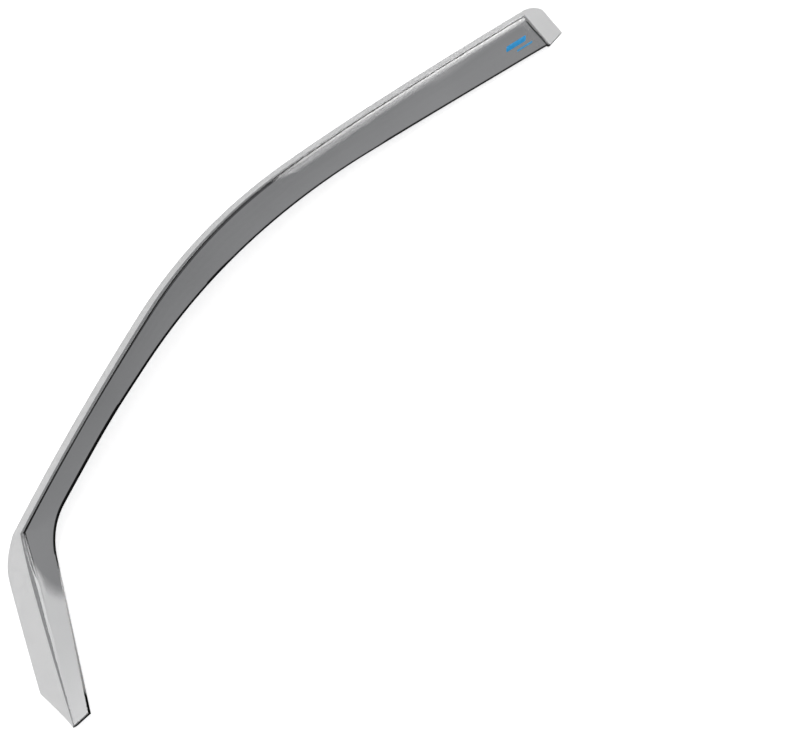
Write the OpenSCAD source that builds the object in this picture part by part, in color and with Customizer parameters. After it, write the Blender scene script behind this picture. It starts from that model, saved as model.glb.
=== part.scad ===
// Window rain deflector for a front side door, one thermoformed acrylic sheet.
// Millimetres. X runs rearwards along the car, Z up, and the outer face looks towards -Y.
// The origin is the sharp front corner of the crease, where the pillar run meets the front post.

/* [Crease along the window frame] */
// Slope of the pillar run at the front corner, in degrees
pillar_slope = 36.25; // [34:0.25:39]
// Length of the pillar run
pillar_run = 268; // [250:2:286]
// Turn of the pillar run, in degrees
pillar_turn = 5; // [4:0.25:6]
// Length of the main bend over the window
bend_run = 250; // [234:2:266]
// Turn of the main bend, in degrees
bend_turn = 25; // [24:0.25:26]
// Length of the gentle bend behind it
lead_run = 125; // [110:1:140]
// Turn of the gentle bend, in degrees
lead_turn = 3; // [2:0.25:4]
// Length of the nearly straight roof run
roof_run = 243; // [228:1:258]
// Turn of the roof run, in degrees
roof_turn = 2; // [1:0.25:3]
// Length of the front post crease
post_run = 203.5; // [190:0.5:216]
// Slope of the front post at the front corner, in degrees
post_slope = 73; // [71:0.5:75]
// Length of the bend below the front corner
post_bend_run = 60; // [50:2:70]
// Turn of the bend below the front corner, in degrees
post_bend_turn = 4; // [3:0.5:5]
// Turn of the rest of the post, in degrees
post_turn = 1.5; // [0:0.5:3]

/* [Lower edge of the visor] */
// Distance from the front corner to the lower edge
corner_depth = 38; // [35:0.25:41]
// Slope of the lower edge opposite the front corner, in degrees
corner_slope = 52.25; // [50:0.25:55]
// Length of the corner curve, rear half
corner_rear = 24; // [20:1:28]
// Turn of the corner curve, rear half, in degrees
corner_rear_turn = 20.25; // [18:0.25:22]
// Length of the straight lower edge under the pillar
edge_pillar = 169; // [160:1:178]
// Turn of the lower edge under the pillar, in degrees
edge_pillar_turn = 3; // [2:0.25:4]
// Length of the lower edge under the main bend
edge_bend = 210; // [200:2:220]
// Turn of the lower edge under the main bend, in degrees
edge_bend_turn = 15; // [13.5:0.25:16.5]
// Length of the lower edge under the gentle bend
edge_lead = 150; // [140:2:160]
// Turn of the lower edge under the gentle bend, in degrees
edge_lead_turn = 10.5; // [9:0.5:12]
// Length of the lower edge under the roof run
edge_roof = 277; // [272:1:286]
// Turn of the lower edge under the roof run, in degrees
edge_roof_turn = 4; // [3:0.5:5]
// Length of the corner curve, front half
corner_front = 31; // [27:1:35]
// Turn of the corner curve, front half, in degrees
corner_front_turn = 21; // [19:0.25:22]
// Length of the straight lower edge along the front post
edge_post = 159; // [152:1:168]

/* [Sheet] */
// Thickness of the sheet
sheet_t = 3; // [2.5:0.1:4]
// Depth milled off the outer face of the flange
mill_t = 1.5; // [1:0.1:1.7]
// Width of the milled step's slope
mill_run = 0.4; // [0.3:0.1:0.6]
// Width of the full thickness strip between the milled step and the bend
strip_w = 2; // [1.5:0.1:3]
// Width of that strip along the front post
post_strip_w = 4.2; // [3:0.1:5]
// Width of that strip at the cut end of the post
end_strip_w = 1.2; // [1.1:0.1:2]

/* [Flange] */
// Width of the flange along the roof and the pillar
flange_w = 7.25; // [5.5:0.25:9.5]
// Width of the flange at the front corner
corner_flange_w = 7; // [6:0.5:9]
// Length over which the flange swells round the front corner
swell_l = 50; // [44:1:56]
// Width of the flange along the front post
post_flange_w = 19; // [15:0.5:21]
// Length of the slanted end of the post flange
post_cut = 39.5; // [34:0.5:45]
// Width left of the post flange at its very end
tip_w = 0.6; // [0.4:0.1:1.5]
// Width of the rear tab
tab_w = 23.5; // [18:0.5:28]
// Radius of the tab's upper corner
tab_r = 19.5; // [18.5:0.5:21]
// Distance of that radius's highest point behind the crease
tab_peak = 6; // [5:0.5:7]
// Height of the tab above the roof flange
tab_extra = 1; // [0:0.25:2]
// Rise of the tab's lower edge
tab_rise = 12.5; // [8:0.5:16]

/* [Shoulder and visor] */
// Distance of the shoulder's top from the crease
shoulder_w = 10; // [9:0.5:12]
// Height of the shoulder
shoulder_h = 9; // [7:0.5:11]
// Width of the shoulder's slope along the front post
post_shoulder_w = 3; // [2.75:0.25:4]
// Height of the shoulder along the front post
post_shoulder_h = 2.5; // [2:0.25:3.5]
// Height of the shoulder at the front corner
corner_shoulder_h = 4; // [3:0.25:5]
// Outer radius of the tight bend at the foot of the shoulder
foot_r = 1.75; // [1.25:0.25:2.5]
// Outer radius of the wide bend at the top of the shoulder
top_r = 16; // [12:0.5:18]
// Outer radius of that bend along the front post
post_top_r = 4; // [3.5:0.25:5]
// Distance of the shoulder's top from the rear crease
rear_shoulder_w = 9; // [8.5:0.25:11]
// Outer radius of the bend at the top of the rear wall
rear_top_r = 3.5; // [3:0.5:6]
// Least width of the rear wall, as a share of its full width
rear_wall_share = 0.4; // [0.3:0.05:0.6]
// Stand-off of the lower edge at the rear end
rear_lift = 2; // [1:0.5:4]
// Stand-off of the lower edge under the pillar run
pillar_lift = 24; // [18:1:28]
// Length from the front corner to that stand-off
pillar_lift_l = 150; // [130:5:170]
// Length of the pillar run after which the stand-off falls again
hold_l = 200; // [180:5:220]
// Length of level stand-off at the rear end
rear_level_l = 60; // [40:5:80]
// Stand-off of the lower edge opposite the front corner
corner_lift = 15; // [13:0.5:17]
// Half the length over which the corner's stand-off blends into the post's
corner_blend_l = 40; // [34:1:46]
// Stand-off of the lower edge along the front post
post_lift = 10; // [8:0.5:12]
// Stand-off of the visor at the cut end of the post
end_lift = 12; // [10:0.5:14]
// Length of the post's stand-off change at its cut end
end_lift_l = 104; // [90:2:120]
// Length of the pillar over which the shoulder grows to its full width
shoulder_grow_l = 320; // [280:10:360]
// Length of post crease below the front corner before the shoulder runs out
run_out_l = 60; // [50:2:70]
// Crown of the visor face between its shoulder and its lower edge
crown = 1.5; // [0:0.1:3]

/* [Finish] */
// Colour of the smoked sheet
smoke = [0.42, 0.43, 0.44]; // [0:0.01:1]
// Spacing of the sections along the sheet
step_l = 12; // [9:1:20]
// Length either side of the front corner with closer sections
corner_zone = 60; // [50:5:70]

/* [Hidden] */
// Numbers of facets of the two bends, the visor and the front corner
foot_n = 3;
top_n = 6;
visor_n = 4;
corner_n = 24;

main_run = pillar_run + bend_run + lead_run + roof_run;
edge_run = corner_rear + edge_pillar + edge_bend + edge_lead + edge_roof;
edge_ahead_run = corner_front + edge_post;
crease_back = [[pillar_run, -pillar_turn], [bend_run, -bend_turn],
    [lead_run, -lead_turn], [roof_run, -roof_turn]];
crease_ahead = [[post_bend_run, post_bend_turn], [post_run - post_bend_run, post_turn]];
edge_back = [[corner_rear, -corner_rear_turn], [edge_pillar, -edge_pillar_turn],
    [edge_bend, -edge_bend_turn], [edge_lead, -edge_lead_turn], [edge_roof, -edge_roof_turn]];
edge_ahead = [[corner_front, corner_front_turn], [edge_post, 0]];
mitre_slope = (pillar_slope + post_slope) / 2;
corner_point = corner_depth * [cos(mitre_slope - 90), sin(mitre_slope - 90)];

function ease(t) = let (c = min(1, max(0, t))) c * c * (3 - 2 * c);
function mix(a, b, t) = a + (b - a) * t;
function unit(v) = v / norm(v);
function steps(a, b, n) = [for (i = [0 : n - 1]) mix(a, b, i / n)];

// A point at distance s along a chain of arcs, each arc a length and a turn
function arc_end(p, a, k, s) = abs(k) < 1e-6 ? p + s * [cos(a), sin(a)]
    : p + 180 / (PI * k) * [sin(a + k * s) - sin(a), cos(a) - cos(a + k * s)];
function along(p, a, arcs, s, i = 0) =
    let (size = arcs[i][0], k = arcs[i][1] / size)
    s <= size || i == len(arcs) - 1 ? arc_end(p, a, k, s)
        : along(arc_end(p, a, k, size), a + arcs[i][1], arcs, s - size, i + 1);

// The crease at u, which runs rearwards from the front corner and is negative on the post
function crease(u) = u >= 0 ? along([0, 0], pillar_slope, crease_back, u)
    : along([0, 0], post_slope + 180, crease_ahead, -u);
// The point of the lower edge that faces the crease at u
function lower(u) = u >= 0 ? along(corner_point, corner_slope, edge_back, u * edge_run / main_run)
    : along(corner_point, corner_slope + 180, edge_ahead, -u * edge_ahead_run / post_run);
function heading(u) = abs(u) > strip_w ? unit(crease(u + strip_w / 4) - crease(u - strip_w / 4))
    : let (a = u < 0 ? post_slope : pillar_slope) [cos(a), sin(a)];

// Width of the flange at u: it swells round the front corner and is cut off slanting at the end of the post
function flange(u) = u > 0 ? mix(corner_flange_w, flange_w, ease(u / swell_l))
    : u > -swell_l ? mix(corner_flange_w, post_flange_w, sin(-u * 90 / swell_l))
    : u >= post_cut - post_run ? post_flange_w
    : mix(tip_w, post_flange_w, pow((u + post_run) / post_cut, 1.15));

// Stand-off of the lower edge at u
function corner_lift_at(u) = mix(post_lift, corner_lift, ease((u + corner_blend_l) / (2 * corner_blend_l)));
function lift(u) = u > 0
    ? mix(mix(corner_lift_at(u), pillar_lift, ease(u / pillar_lift_l)), rear_lift,
        ease((u - hold_l) / (main_run - hold_l - rear_level_l)))
    : mix(corner_lift_at(u), end_lift, ease((end_lift_l - post_run - u) / end_lift_l));

// Width of the strip at u, and the shoulder's top there as distance from the crease and height, which
// runs out down the post
function run_out(u) = ease((-u - run_out_l) / (post_run - run_out_l));
function on_pillar(u) = ease(u / shoulder_grow_l);
function on_post(u) = ease(-u / run_out_l);
function strip_at(u) = mix(mix(strip_w, post_strip_w, on_post(u)), end_strip_w,
    max(0, -u - run_out_l) / (post_run - run_out_l));
function shoulder_h_at(u) =
    mix(mix(corner_shoulder_h, shoulder_h, on_pillar(u)), post_shoulder_h, on_post(u));
function top_at(u, depth) = let (w = strip_at(u))
    [mix(w + post_shoulder_w, shoulder_w, on_pillar(u)),
     mix(shoulder_h_at(u), post_shoulder_w * end_lift / (depth - w), run_out(u))];

// A bend of radius r at corner b between a and c, as n + 1 points
function bend(a, b, c, r, n) =
    let (p = unit(a - b), q = unit(c - b), open = acos(max(-1, p * q)), cut = r / tan(open / 2))
    open > 179.5 ? [for (i = [0 : n]) b + mix(p, q, i / n) * strip_w / 2]
        : let (m = b + unit(p + q) * r / sin(open / 2), v = b + p * cut - m, w = b + q * cut - m,
            turn = 180 - open)
        [for (i = [0 : n]) m + (v * sin(turn * (1 - i / n)) + w * sin(turn * i / n)) / sin(turn)];

// The section at u, from the strip to the lower edge: distance from the crease, height
function section(u, depth) =
    let (k = [strip_at(u), 0], s = top_at(u, depth), v = [depth, lift(u)],
        foot = bend([0, 0], k, s, foot_r, foot_n),
        top = bend(k, s, v, mix(post_top_r, top_r, on_pillar(u)), top_n), from = top[top_n])
    concat([[mill_run, 0]], foot, top,
        [for (i = [1 : visor_n]) let (t = i / visor_n)
            mix(from, v, t) + [0, crown * 4 * t * (1 - t) * on_pillar(u)]]);

// How far the sheet has risen at distance d from the crease of the rear end, from 0 to 1
rear_edge = [rear_shoulder_w, shoulder_h];
rear_foot = bend([0, 0], [strip_w, 0], rear_edge, foot_r, foot_n);
rear_top = bend([strip_w, 0], rear_edge, rear_edge + [strip_w * 2, 0], rear_top_r, top_n);
rear_rise = concat([[0, 0]], rear_foot, rear_top, [[2 * main_run, shoulder_h]]);
function rise(d) = lookup(d, rear_rise) / shoulder_h;

// Direction of the ruling at the rear end, and the direction square to it, rearwards
rear_corner = crease(main_run);
rear_foot_point = lower(main_run);
rear_dir = unit(rear_foot_point - rear_corner);
rear_out = [-rear_dir[1], rear_dir[0]];

// One section of the outer face at u, risen by share k, without the milled step: points [x, z, height]
function ring(u, k = 1) =
    let (c = crease(u), d = lower(u) - c, r = unit(d), h = heading(u),
        across = abs(r[1] * h[0] - r[0] * h[1]), depth = norm(d) * across)
    concat([for (w = [-flange(u), 0]) flat_point(c + r * w / across)],
        [for (s = section(u, depth)) raised_point(c + r * s[0] / across, s[1] * k)]);
function flat_point(p) = [p[0], p[1], 0];
function raised_point(p, h) = [p[0], p[1], h];

// One section of the rear wall at distance d from the rear crease; the lower the sheet stands, the
// narrower the wall is
rear_across = abs(rear_out * heading(main_run - strip_w));
rear_shares = [for (p = ring(main_run - rear_shoulder_w)) min(1, max(rear_wall_share, p[2] / shoulder_h))];
function wall_at(d, share) = main_run - (min(d, strip_w) + max(0, d - strip_w) * share) / rear_across;
function rear_ring(d) =
    [for (j = [0 : len(rear_shares) - 1]) ring(wall_at(d, rear_shares[j]), rise(d))[j]];

// A flat section of the rear tab at distance a behind the rear crease
function tab_top(a) = flange_w + tab_extra - tab_r + sqrt(tab_r * tab_r - pow(a - tab_peak, 2));
function tab_ring(a) =
    let (full = ring(main_run), first = full[0], last = full[len(full) - 1],
        from = [first[0], first[1]], size = norm([last[0], last[1]] - from),
        top = rear_corner - rear_dir * tab_top(a) + rear_out * a,
        foot = rear_foot_point - rear_dir * tab_rise * a / tab_w + rear_out * a)
    [for (p = full) let (f = norm([p[0], p[1]] - from) / size) flat_point(mix(top, foot, f))];

// Places of the sections: the tab, the rear shoulder, the runs, the front corner and the post
tab_places = [for (t = [1, 0.97, 0.9, 0.8, 0.65, 0.5, 0.3, 0.12]) t * tab_w];
rear_places = concat([mill_run], [for (p = rear_foot) p[0]], [for (p = rear_top) p[0]]);
run_from = rear_places[len(rear_places) - 1] + strip_w;
cut_from = post_cut - post_run;
run_count = round((main_run - run_from - corner_zone) / step_l);
post_count = round((-cut_from - corner_zone) / step_l);
cut_count = ceil(post_cut / step_l);
places = concat(steps(main_run - run_from, corner_zone, run_count),
    steps(corner_zone, -corner_zone, corner_n),
    steps(-corner_zone, cut_from, post_count),
    steps(cut_from, mill_run - post_run, cut_count), [-post_run]);

rings = concat([for (a = tab_places) tab_ring(a)], [tab_ring(0)], [for (d = rear_places) rear_ring(d)],
    [for (u = places) ring(u)]);
tab_count = len(tab_places) + 1;
ring_n = len(rings[0]);
last_ring = len(rings) - 1;

// Way from the inner face to the outer one at section i, point j, for a sheet of thickness 1
function normal(i, j) = i < tab_count || j < 2 ? [0, -1, 0]
    : let (a = rings[min(i + 1, last_ring)][j] - rings[i - 1][j],
        b = rings[i][min(j + 1, ring_n - 1)] - rings[i][j - 1], n = cross(a, b),
        m = unit([n[0], -n[2], n[1]] * (n[2] < 0 ? -1 : 1)))
    i < tab_count + len(rear_places) ? kept_in(m, [rear_out[0], 0, rear_out[1]]) : m;
// The same way without any part of it along the rear wall's direction o
function kept_in(n, o) = let (m = unit(n - (n * o) * o)) m / (m * n);
function place(p) = [p[0], -p[2], p[1]];
function milled(i, j) = i < tab_count || j < 2 ? mill_t : 0;
function outer(i, j) = place(rings[i][j]) + [0, milled(i, j), 0];
function inner(i, j) = let (p = place(rings[i][j]) - normal(i, j) * sheet_t) [p[0], min(p[1], sheet_t), p[2]];

// The sheet as one closed skin: outer face forwards, inner face back, a wall round every edge
module deflector() {
    color(smoke)
    polyhedron(points = sheet_points, faces = sheet_faces, convexity = 8);
}
// Corner numbers go round each section, out along the outer face and back along the inner one
loop_n = 2 * ring_n;
sheet_points = [for (i = [0 : last_ring])
    each concat([for (j = [0 : ring_n - 1]) outer(i, j)],
        [for (j = [ring_n - 1 : -1 : 0]) inner(i, j)])];
function spot(i, j) = i * loop_n + (j + loop_n) % loop_n;
function two_triangles(a, b, c, d) = [[a, b, c], [a, d, b]];
sheet_faces = concat(
    [for (i = [0 : last_ring - 1], j = [0 : loop_n - 1])
        each two_triangles(spot(i, j), spot(i + 1, j + 1), spot(i + 1, j), spot(i, j + 1))],
    [for (j = [0 : ring_n - 2])
        each two_triangles(spot(0, j), spot(0, -j - 2), spot(0, j + 1), spot(0, -j - 1))],
    [for (j = [0 : ring_n - 2])
        each two_triangles(spot(last_ring, j), spot(last_ring, -j - 2),
            spot(last_ring, -j - 1), spot(last_ring, j + 1))]);

deflector();
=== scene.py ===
import math

import bmesh
import bpy
import numpy as np
from mathutils import Matrix, Vector
from mathutils.bvhtree import BVHTree


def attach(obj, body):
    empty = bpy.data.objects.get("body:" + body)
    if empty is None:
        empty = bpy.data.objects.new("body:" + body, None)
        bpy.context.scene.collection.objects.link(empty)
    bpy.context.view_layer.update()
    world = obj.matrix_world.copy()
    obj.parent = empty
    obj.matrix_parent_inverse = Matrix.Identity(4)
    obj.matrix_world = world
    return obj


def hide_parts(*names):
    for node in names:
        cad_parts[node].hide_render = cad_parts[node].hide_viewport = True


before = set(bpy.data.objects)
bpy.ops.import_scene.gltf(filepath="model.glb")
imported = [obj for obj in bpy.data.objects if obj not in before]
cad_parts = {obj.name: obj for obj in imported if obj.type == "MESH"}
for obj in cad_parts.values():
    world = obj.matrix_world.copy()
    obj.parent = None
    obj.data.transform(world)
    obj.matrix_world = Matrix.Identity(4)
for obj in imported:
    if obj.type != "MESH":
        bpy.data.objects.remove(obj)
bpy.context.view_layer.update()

print("frame loaded")


# small helpers for node materials

# most of a noise lies in this span
noiseSpan = (0.3, 0.7)


def newMaterial(name):
    material = bpy.data.materials.new(name)
    material.use_nodes = True
    tree = material.node_tree
    tree.nodes.clear()
    output = tree.nodes.new("ShaderNodeOutputMaterial")
    return material, tree, output


# the piece's own coordinates, for its patterns
def objectPlace(tree):
    coords = tree.nodes.new("ShaderNodeTexCoord")
    mapping = tree.nodes.new("ShaderNodeMapping")
    tree.links.new(coords.outputs["Object"], mapping.inputs["Vector"])
    return mapping.outputs[0]


def noiseField(tree, place, scale, detail):
    noise = tree.nodes.new("ShaderNodeTexNoise")
    noise.inputs["Scale"].default_value = scale
    noise.inputs["Detail"].default_value = detail
    noise.inputs["Roughness"].default_value = 0.55
    tree.links.new(place, noise.inputs["Vector"])
    return noise.outputs[0]


def remap(tree, field, fromLow, fromHigh, toLow, toHigh):
    node = tree.nodes.new("ShaderNodeMapRange")
    ends = {"From Min": fromLow, "From Max": fromHigh, "To Min": toLow, "To Max": toHigh}
    for name, value in ends.items():
        node.inputs[name].default_value = value
    tree.links.new(field, node.inputs["Value"])
    return node.outputs[0]


def softStep(tree, field, start, end):
    node = tree.nodes.new("ShaderNodeMapRange")
    node.interpolation_type = "SMOOTHSTEP"
    node.inputs["From Min"].default_value = start
    node.inputs["From Max"].default_value = end
    tree.links.new(field, node.inputs["Value"])
    return node.outputs[0]


def product(tree, first, second):
    node = tree.nodes.new("ShaderNodeMath")
    node.operation = "MULTIPLY"
    tree.links.new(first, node.inputs[0])
    tree.links.new(second, node.inputs[1])
    return node.outputs[0]


def meshMark(tree, name):
    node = tree.nodes.new("ShaderNodeAttribute")
    node.attribute_name = name
    return node.outputs["Fac"]


def toned(colour, by):
    return tuple(min(1, c * by) for c in colour[:3]) + (1,)


def mixNode(tree, kind, mask, first, second):
    node = tree.nodes.new("ShaderNodeMix")
    node.data_type = kind
    slots = {"FLOAT": (0, 2, 3, 0), "VECTOR": (0, 4, 5, 1), "RGBA": (0, 6, 7, 2)}[kind]
    tree.links.new(mask, node.inputs[slots[0]])
    for slot, value in ((slots[1], first), (slots[2], second)):
        if isinstance(value, bpy.types.NodeSocket):
            tree.links.new(value, node.inputs[slot])
        else:
            node.inputs[slot].default_value = value if kind == "FLOAT" else toned(value, 1)
    return node.outputs[slots[3]]


def colourMix(tree, mask, first, second):
    return mixNode(tree, "RGBA", mask, first, second)


def valueMix(tree, mask, first, second):
    return mixNode(tree, "FLOAT", mask, first, second)


def vectorMix(tree, mask, first, second):
    return mixNode(tree, "VECTOR", mask, first, second)


def addBump(tree, field, strength, distance):
    bump = tree.nodes.new("ShaderNodeBump")
    bump.inputs["Strength"].default_value = strength
    bump.inputs["Distance"].default_value = distance
    tree.links.new(field, bump.inputs["Height"])
    return bump.outputs[0]


def addPiece(name, bm, material):
    mesh = bpy.data.meshes.new(name)
    bm.to_mesh(mesh)
    bm.free()
    piece = bpy.data.objects.new(name, mesh)
    bpy.context.scene.collection.objects.link(piece)
    mesh.materials.append(material)
    return piece


# camera, at the photograph's viewing angle

cameraLook = {
    "position": (0.0540, -1.0362, -0.6788),
    "right": (0.8043, 0.0773, -0.5891),
    "down": (-0.5274, 0.5497, -0.6479),
    "lens": 55.35,
    "sensor": 36,
    "clipStart": 0.01,
}


def makeCamera():
    right = Vector(cameraLook["right"]).normalized()
    down = Vector(cameraLook["down"])
    down = (down - right * down.dot(right)).normalized()
    forward = right.cross(down)
    turn = Matrix((right, -down, -forward)).transposed().to_4x4()
    data = bpy.data.cameras.new("camera")
    data.lens = cameraLook["lens"]
    data.sensor_width = cameraLook["sensor"]
    data.clip_start = cameraLook["clipStart"]
    camera = bpy.data.objects.new("camera", data)
    camera.matrix_world = Matrix.Translation(cameraLook["position"]) @ turn
    bpy.context.scene.collection.objects.link(camera)
    bpy.context.scene.camera = camera


makeCamera()
print("camera placed")


# the sheet: a copy of the CAD skin, merged and turned to quads, with its finishes and the painted shade of its
# cut edges marked on the mesh

sheetForm = {
    "mergeDistance": 1e-6,
    "quadAngle": 35,
    "sharpAngle": 22,
    # how a face's finish is told
    "flangeY": 0.0015,
    "backY": 0.003,
    "thickness": 0.003,
    "thinWall": 0.0018,
    "thickWall": 0.0045,
    "flatNormal": 0.999,
    "planeSlack": 1e-4,
    "rayStart": 1e-5,
    "rayReach": 0.05,
    "besideReach": 0.1,
    # how much painted shade the cut edge gets, by place along it
    "postEnd": -0.195,
    "postStart": -0.045,
    "postCutShade": 0.3,
    "bendStart": (0.33, 0.36),
    "bendEnd": (0.55, 0.575),
    "bendCutShade": 0.4,
    # how far the painted-shade rim and the haze stand off, and between which X the haze sets in
    "rimAway": 0.004,
    "foldAway": [((0.39, 0.46), 0.03), ((0.46, 0.66), -0.004)],
}


def makeSheet(material):
    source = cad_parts["deflector"]
    bm = bmesh.new()
    bm.from_mesh(source.data)
    bmesh.ops.remove_doubles(bm, verts=bm.verts, dist=sheetForm["mergeDistance"])
    bmesh.ops.join_triangles(bm, faces=bm.faces, angle_face_threshold=math.radians(sheetForm["quadAngle"]),
                             angle_shape_threshold=math.pi)
    print("sheet:", len(bm.faces), "faces,", sum(len(f.verts) == 3 for f in bm.faces), "triangles")
    bm.normal_update()
    skin = BVHTree.FromBMesh(bm)
    milled = bm.faces.layers.float.new("milled")
    cut = bm.faces.layers.float.new("cut")
    for face in bm.faces:
        face.smooth = True
        finish = finishOf(face, skin)
        face[milled] = 1.0 if finish == "milled" else 0.0
        face[cut] = paintedCutShade(face.calc_center_median()) if finish == "cut" else 0.0
    markRims(bm, milled, cut)
    markFold(bm, milled, cut)
    keepEdges(bm)
    return addPiece("deflectorSheet", bm, material)


# a face belongs to the milled flange, the polished sheet or a cut edge, read from where it lies and looks
def finishOf(face, skin):
    form = sheetForm
    centre, normal = face.calc_center_median(), face.normal
    wall = wallBehind(centre, normal, skin)
    flat = abs(normal.y) > form["flatNormal"]
    if flat and abs(centre.y - form["flangeY"]) < form["planeSlack"]:
        return "milled"
    back = flat and normal.y > 0 and abs(centre.y - form["backY"]) < form["planeSlack"]
    if back and wall < form["thinWall"]:
        return "milled"
    if wall > form["thickWall"]:
        # just outside a cut edge there is no sheet, before or behind
        beside = centre + Vector((normal.x, 0, normal.z)).normalized() * form["thickness"]
        reach = form["besideReach"]
        if skin.ray_cast(beside - Vector((0, reach, 0)), Vector((0, 1, 0)), 2 * reach)[0] is None:
            return "cut"
    return "polished"


# how far it is through the sheet from a face
def wallBehind(centre, normal, skin):
    hit = skin.ray_cast(centre - normal * sheetForm["rayStart"], -normal, sheetForm["rayReach"])
    return math.inf if hit[0] is None else hit[3]


# painted shade on the cut edge: dark along the pillar, the rear and the post's end, lighter at the bend and the
# post
def paintedCutShade(place):
    if place.z < sheetForm["postEnd"]:
        return 1.0
    if place.z < sheetForm["postStart"]:
        return sheetForm["postCutShade"]
    bend = min(fade(place.x, *sheetForm["bendStart"]), 1 - fade(place.x, *sheetForm["bendEnd"]))
    return 1 - bend * (1 - sheetForm["bendCutShade"])


def fade(value, start, end):
    return min(1, max(0, (value - start) / (end - start)))


def sideValues(edge, layer):
    return [face[layer] for face in edge.link_faces]


# each point's distance from the polished sheet's cut edge, for the rim's painted shade; longer where the edge's
# shade is lighter
def markRims(bm, milled, cut):
    rims = [e for e in bm.edges
            if min(sideValues(e, cut)) == 0 and max(sideValues(e, cut)) > 0 and max(sideValues(e, milled)) == 0]
    markDistance(bm, "rim", rims, lambda place: (1 - paintedCutShade(place)) * sheetForm["rimAway"])


# each point's distance from the fold at the milled step, longer away from the roof
def markFold(bm, milled, cut):
    folds = [e for e in bm.edges
             if len(set(sideValues(e, milled))) == 2 and max(sideValues(e, cut)) == 0
             and max(abs(v.co.y - sheetForm["flangeY"]) for v in e.verts) < sheetForm["planeSlack"]]
    markDistance(bm, "fold", folds, foldAway)


def foldAway(place):
    return sum((1 - fade(place.x, *along)) * away for along, away in sheetForm["foldAway"])


def markDistance(bm, name, edges, extra):
    starts = np.array([e.verts[0].co for e in edges])
    ways = np.array([e.verts[1].co for e in edges]) - starts
    layer = bm.verts.layers.float.new(name)
    for vert in bm.verts:
        out = np.array(vert.co) - starts
        along = np.clip((out * ways).sum(1) / (ways * ways).sum(1), 0, 1)
        away = np.linalg.norm(out - ways * along[:, None], axis=1)
        nearest = int(away.argmin())
        vert[layer] = min(1, away[nearest] + extra(edges[nearest].verts[0].co))


# the milled step and the outline stay crisp
def keepEdges(bm):
    for edge in bm.edges:
        if edge.calc_face_angle(0) > math.radians(sheetForm["sharpAngle"]):
            edge.smooth = False


# finish of the sheet: polished smoked acrylic, frosted where it is milled, with painted shade along the cut
# edges

acrylicLook = {
    "smoke": (0.54, 0.542, 0.548),
    "smokeTones": (0.97, 1.03),
    "milledSmoke": (0.90, 0.90, 0.898),
    "milledTone": 0.97,
    # near-black painted shade for the cut edges and the rim beside them
    "edgePaintedShade": (0.004, 0.004, 0.004),
    # span over which the painted shade of the rim fades out
    "rimWidth": (0.0007, 0.0010),
    "absorbDensity": 500.0,
    "absorbColour": (0.50, 0.503, 0.51, 1),
    "polish": (0.015, 0.04),
    "bendHaze": 0.22,
    "bendWidth": (0.016, 0.026),
    "milledRough": (0.36, 0.5),
    "ior": 1.49,
    # scale and detail of the patterns, and strength and depth of the two that are bumps
    "cloud": (9, 2),
    "frost": (240, 4),
    "handling": (38, 4),
    "handlingSpan": (0.35, 0.7),
    "wave": (14, 1),
    "waveBump": (0.006, 0.002),
    "frostBump": (0.05, 0.0003),
}


def makeAcrylic():
    look = acrylicLook
    material, tree, output = newMaterial("smokedAcrylic")
    place = objectPlace(tree)
    milled, cut = meshMark(tree, "milled"), meshMark(tree, "cut")
    shader = tree.nodes.new("ShaderNodeBsdfPrincipled")
    shader.inputs["IOR"].default_value = look["ior"]
    shader.inputs["Transmission Weight"].default_value = 1
    # the tint varies a little, as a cast sheet's does, and is lighter where the sheet is milled thin
    cloud = remap(tree, noiseField(tree, place, *look["cloud"]), *noiseSpan, 0, 1)
    smoke = colourMix(tree, cloud, *(toned(look["smoke"], tone) for tone in look["smokeTones"]))
    frost = noiseField(tree, place, *look["frost"])
    pale = colourMix(tree, remap(tree, frost, *noiseSpan, 0, 1),
                     toned(look["milledSmoke"], look["milledTone"]), look["milledSmoke"])
    tintAndEdgeShade = colourMix(tree, milled, smoke, pale)
    # painted shade: a cut edge is painted near black, and so is the narrow rim of the sheet beside it
    rim = remap(tree, meshMark(tree, "rim"), *look["rimWidth"], 1, 0)
    for dark in (rim, cut):
        tintAndEdgeShade = colourMix(tree, dark, tintAndEdgeShade, look["edgePaintedShade"])
    tree.links.new(tintAndEdgeShade, shader.inputs["Base Color"])
    # the bend along the roof is hazier than the flat of the sheet
    handling = noiseField(tree, place, *look["handling"])
    haze = remap(tree, handling, *look["handlingSpan"], *look["polish"])
    haze = valueMix(tree, softStep(tree, meshMark(tree, "fold"), *look["bendWidth"]), look["bendHaze"], haze)
    rough = remap(tree, frost, *noiseSpan, *look["milledRough"])
    tree.links.new(valueMix(tree, milled, haze, rough), shader.inputs["Roughness"])
    wave = addBump(tree, noiseField(tree, place, *look["wave"]), *look["waveBump"])
    marks = addBump(tree, frost, *look["frostBump"])
    tree.links.new(vectorMix(tree, milled, wave, marks), shader.inputs["Normal"])
    tree.links.new(shader.outputs[0], output.inputs["Surface"])
    volume = tree.nodes.new("ShaderNodeVolumeAbsorption")
    volume.inputs["Density"].default_value = look["absorbDensity"]
    volume.inputs["Color"].default_value = look["absorbColour"]
    tree.links.new(volume.outputs[0], output.inputs["Volume"])
    return material


sheet = makeSheet(makeAcrylic())
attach(sheet, "root")
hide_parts("deflector")
print("sheet made")


# the small print near the rear corner: two plain slanted bars of ink on the outer face

printForm = {
    "bars": [
        {"centre": (0.7790, 0.2085), "length": 0.031, "height": 0.0068, "slant": 0.0030,
         "colour": (0.010, 0.290, 0.645, 1)},
        {"centre": (0.7850, 0.1995), "length": 0.024, "height": 0.0026, "slant": 0.0012,
         "colour": (0.060, 0.330, 0.620, 1)},
    ],
    "segments": (24, 4),
    "endShare": 0.35,
    "endRound": 0.35,
    "rise": 1.5,
    "proud": 0.00004,
    "inkDepth": 0.00012,
    "wear": (900, 3),
    "wearSpan": (0.35, 0.65),
    "tones": (0.88, 1.05),
    "rough": (0.28, 0.42),
}


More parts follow.
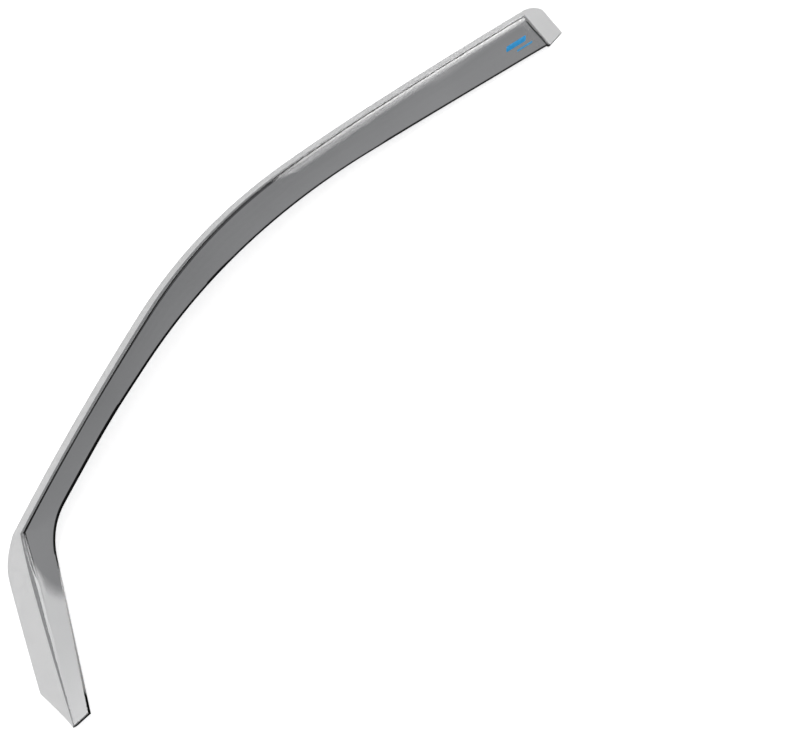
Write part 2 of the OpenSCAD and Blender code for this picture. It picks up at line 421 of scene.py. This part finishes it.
def makePrint(number, bar, target):
    form = printForm
    bm = bmesh.new()
    bmesh.ops.create_grid(bm, x_segments=form["segments"][0], y_segments=form["segments"][1], size=0.5)
    reach = bar["length"] / 2 - bar["height"] * form["endShare"]
    for vert in bm.verts:
        x, z = vert.co.x * bar["length"], vert.co.y * bar["height"]
        up = 2 * z / bar["height"]
        # the ends are rounded a little, then the bar leans
        if abs(x) > reach:
            x = math.copysign(reach + (abs(x) - reach) * (1 - form["endRound"] * up ** 2), x)
        vert.co = (x + bar["slant"] * up, 0, z)
    turn = Matrix.Rotation(-math.radians(form["rise"]), 3, "Y")
    bmesh.ops.rotate(bm, verts=bm.verts, cent=(0, 0, 0), matrix=turn)
    # it is laid on the sheet from in front
    for vert in bm.verts:
        x, z = vert.co.x + bar["centre"][0], vert.co.z + bar["centre"][1]
        hit = target.ray_cast(Vector((x, -0.2, z)), Vector((0, 1, 0)))
        vert.co = (x, hit[0].y - form["proud"], z)
    bmesh.ops.recalc_face_normals(bm, faces=bm.faces)
    bmesh.ops.solidify(bm, geom=bm.faces, thickness=-form["inkDepth"])
    bmesh.ops.recalc_face_normals(bm, faces=bm.faces)
    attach(addPiece(f"printBar{number}", bm, makeInk(number, bar["colour"])), "root")


def makeInk(number, colour):
    material, tree, output = newMaterial(f"printInk{number}")
    shader = tree.nodes.new("ShaderNodeBsdfPrincipled")
    wear = noiseField(tree, objectPlace(tree), *printForm["wear"])
    ink = colourMix(tree, remap(tree, wear, *printForm["wearSpan"], 0, 1),
                    *(toned(colour, tone) for tone in printForm["tones"]))
    tree.links.new(ink, shader.inputs["Base Color"])
    tree.links.new(remap(tree, wear, *noiseSpan, *printForm["rough"]), shader.inputs["Roughness"])
    tree.links.new(shader.outputs[0], output.inputs["Surface"])
    return material


def makePrints():
    skin = bmesh.new()
    skin.from_mesh(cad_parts["deflector"].data)
    target = BVHTree.FromBMesh(skin)
    for number, bar in enumerate(printForm["bars"], 1):
        makePrint(number, bar, target)
    skin.free()


makePrints()
print("print made")


# stage: the part lies on a wide white table, which is the plane behind its flange

stageLook = {
    "tableX": 0.4,
    "tableY": 0.0042,
    "tableSize": 12.0,
    "tableColour": (0.9, 0.9, 0.9, 1),
    "cameraGlow": 0.66,
    "throughGlow": 1.0,
    "mirrorGlow": 0.1,
    # a white card under the post, seen only in its cut edge
    "cardGlow": 4.5,
    "cardSide": (0.065, 0.05),
    "cardEnds": [(-0.045, -0.07), (-0.2, -0.196)],
    "roomLight": 0.5,
    "overhead": {"place": (0.2, -2.4, 1.5), "target": (0.35, 0, 0.1), "size": (1.8, 1.2), "strength": 5.0},
    # what the polished sheet mirrors: a low bright wall that fades upwards, and two soft panels, each the
    # part of the sky on the inner side of its rims (a way across the rim, and where it starts and ends)
    "wallGlow": 0.45,
    "ceilingGlow": 0.1,
    "wallTop": (0.35, 0.8),
    "panels": [
        {"glow": 8.4, "rims": [((0.862, 0.507, 0), -0.001, 0.011), ((1, 0, 0), 0.228, 0.256),
                               ((0, 0, 1), 0.5, 0.66)]},
        {"glow": 7.0, "rims": [((-0.731, 0.682, -0.56), -0.355, -0.31), ((-0.174, -0.985, 0), -0.03, 0.07),
                               ((0, 0, -1), -0.74, -0.66)]},
    ],
}


def makeTable():
    bm = bmesh.new()
    bmesh.ops.create_grid(bm, x_segments=1, y_segments=1, size=stageLook["tableSize"] / 2)
    bmesh.ops.rotate(bm, verts=bm.verts, cent=(0, 0, 0), matrix=Matrix.Rotation(math.pi / 2, 3, "X"))
    bmesh.ops.translate(bm, verts=bm.verts, vec=(stageLook["tableX"], stageLook["tableY"], 0))
    addPiece("table", bm, makeTablePaint())


def makeTablePaint():
    material, tree, output = newMaterial("tablePaint")
    paint = tree.nodes.new("ShaderNodeBsdfDiffuse")
    paint.inputs["Color"].default_value = stageLook["tableColour"]
    lit = tree.nodes.new("ShaderNodeAddShader")
    tree.links.new(paint.outputs[0], lit.inputs[0])
    tree.links.new(emission(tree, stageLook["cameraGlow"]), lit.inputs[1])
    seen = shaderMix(tree, lightPath(tree, "Is Camera Ray"), paint.outputs[0], lit.outputs[0])
    place = tree.nodes.new("ShaderNodeSeparateXYZ")
    tree.links.new(objectPlace(tree), place.inputs[0])
    card = softStep(tree, place.outputs[0], *stageLook["cardSide"])
    for rim in stageLook["cardEnds"]:
        card = product(tree, card, softStep(tree, place.outputs[2], *rim))
    card = valueMix(tree, card, stageLook["mirrorGlow"], stageLook["cardGlow"])
    mirror = tree.nodes.new("ShaderNodeEmission")
    tree.links.new(card, mirror.inputs["Strength"])
    seen = shaderMix(tree, lightPath(tree, "Is Glossy Ray"), seen, mirror.outputs[0])
    through = emission(tree, stageLook["throughGlow"])
    seen = shaderMix(tree, lightPath(tree, "Is Transmission Ray"), seen, through)
    # from behind, the table is clear, so that the part's back can be looked at
    clear = tree.nodes.new("ShaderNodeBsdfTransparent").outputs[0]
    side = tree.nodes.new("ShaderNodeNewGeometry").outputs["Backfacing"]
    tree.links.new(shaderMix(tree, side, seen, clear), output.inputs["Surface"])
    return material


def lightPath(tree, name):
    return tree.nodes.new("ShaderNodeLightPath").outputs[name]


def emission(tree, strength):
    node = tree.nodes.new("ShaderNodeEmission")
    node.inputs["Strength"].default_value = strength
    return node.outputs[0]


def shaderMix(tree, mask, first, second):
    node = tree.nodes.new("ShaderNodeMixShader")
    for number, socket in enumerate((mask, first, second)):
        tree.links.new(socket, node.inputs[number])
    return node.outputs[0]


def makeRoom():
    world = bpy.data.worlds.new("room")
    bpy.context.scene.world = world
    world.use_nodes = True
    tree = world.node_tree
    tree.nodes.clear()
    output = tree.nodes.new("ShaderNodeOutputWorld")
    background = tree.nodes.new("ShaderNodeBackground")
    background.inputs["Color"].default_value = (1, 1, 1, 1)
    way = tree.nodes.new("ShaderNodeTexCoord").outputs["Generated"]
    height = tree.nodes.new("ShaderNodeSeparateXYZ")
    tree.links.new(way, height.inputs[0])
    mirrored = remap(tree, height.outputs[2], *stageLook["wallTop"],
                     stageLook["wallGlow"], stageLook["ceilingGlow"])
    for panel in stageLook["panels"]:
        mirrored = addPanel(tree, way, panel, mirrored)
    strength = valueMix(tree, lightPath(tree, "Is Glossy Ray"), stageLook["roomLight"], mirrored)
    for ray in ("Is Transmission Ray", "Is Camera Ray"):
        strength = valueMix(tree, lightPath(tree, ray), strength, 1.0)
    tree.links.new(strength, background.inputs["Strength"])
    tree.links.new(background.outputs[0], output.inputs["Surface"])


# a panel lights the directions that lie inside all its rims
def addPanel(tree, way, panel, under):
    mask = None
    for across, start, end in panel["rims"]:
        lean = tree.nodes.new("ShaderNodeVectorMath")
        lean.operation = "DOT_PRODUCT"
        tree.links.new(way, lean.inputs[0])
        lean.inputs[1].default_value = across
        inside = softStep(tree, lean.outputs["Value"], start, end)
        mask = product(tree, mask, inside) if mask else inside
    return valueMix(tree, mask, under, panel["glow"])


def makeSoftbox(name):
    form = stageLook[name]
    data = bpy.data.lights.new(name, "AREA")
    data.shape = "RECTANGLE"
    data.size, data.size_y = form["size"]
    # a lamp's power for a plain radiance on its face
    data.energy = form["strength"] * form["size"][0] * form["size"][1] * math.pi
    lamp = bpy.data.objects.new(name, data)
    place, target = Vector(form["place"]), Vector(form["target"])
    turn = (place - target).to_track_quat("Z", "Y").to_matrix().to_4x4()
    lamp.matrix_world = Matrix.Translation(place) @ turn
    lamp.visible_glossy = False
    bpy.context.scene.collection.objects.link(lamp)


makeTable()
makeRoom()
makeSoftbox("overhead")
print("stage and lights placed")

scene = bpy.context.scene
scene.view_settings.view_transform = "Standard"
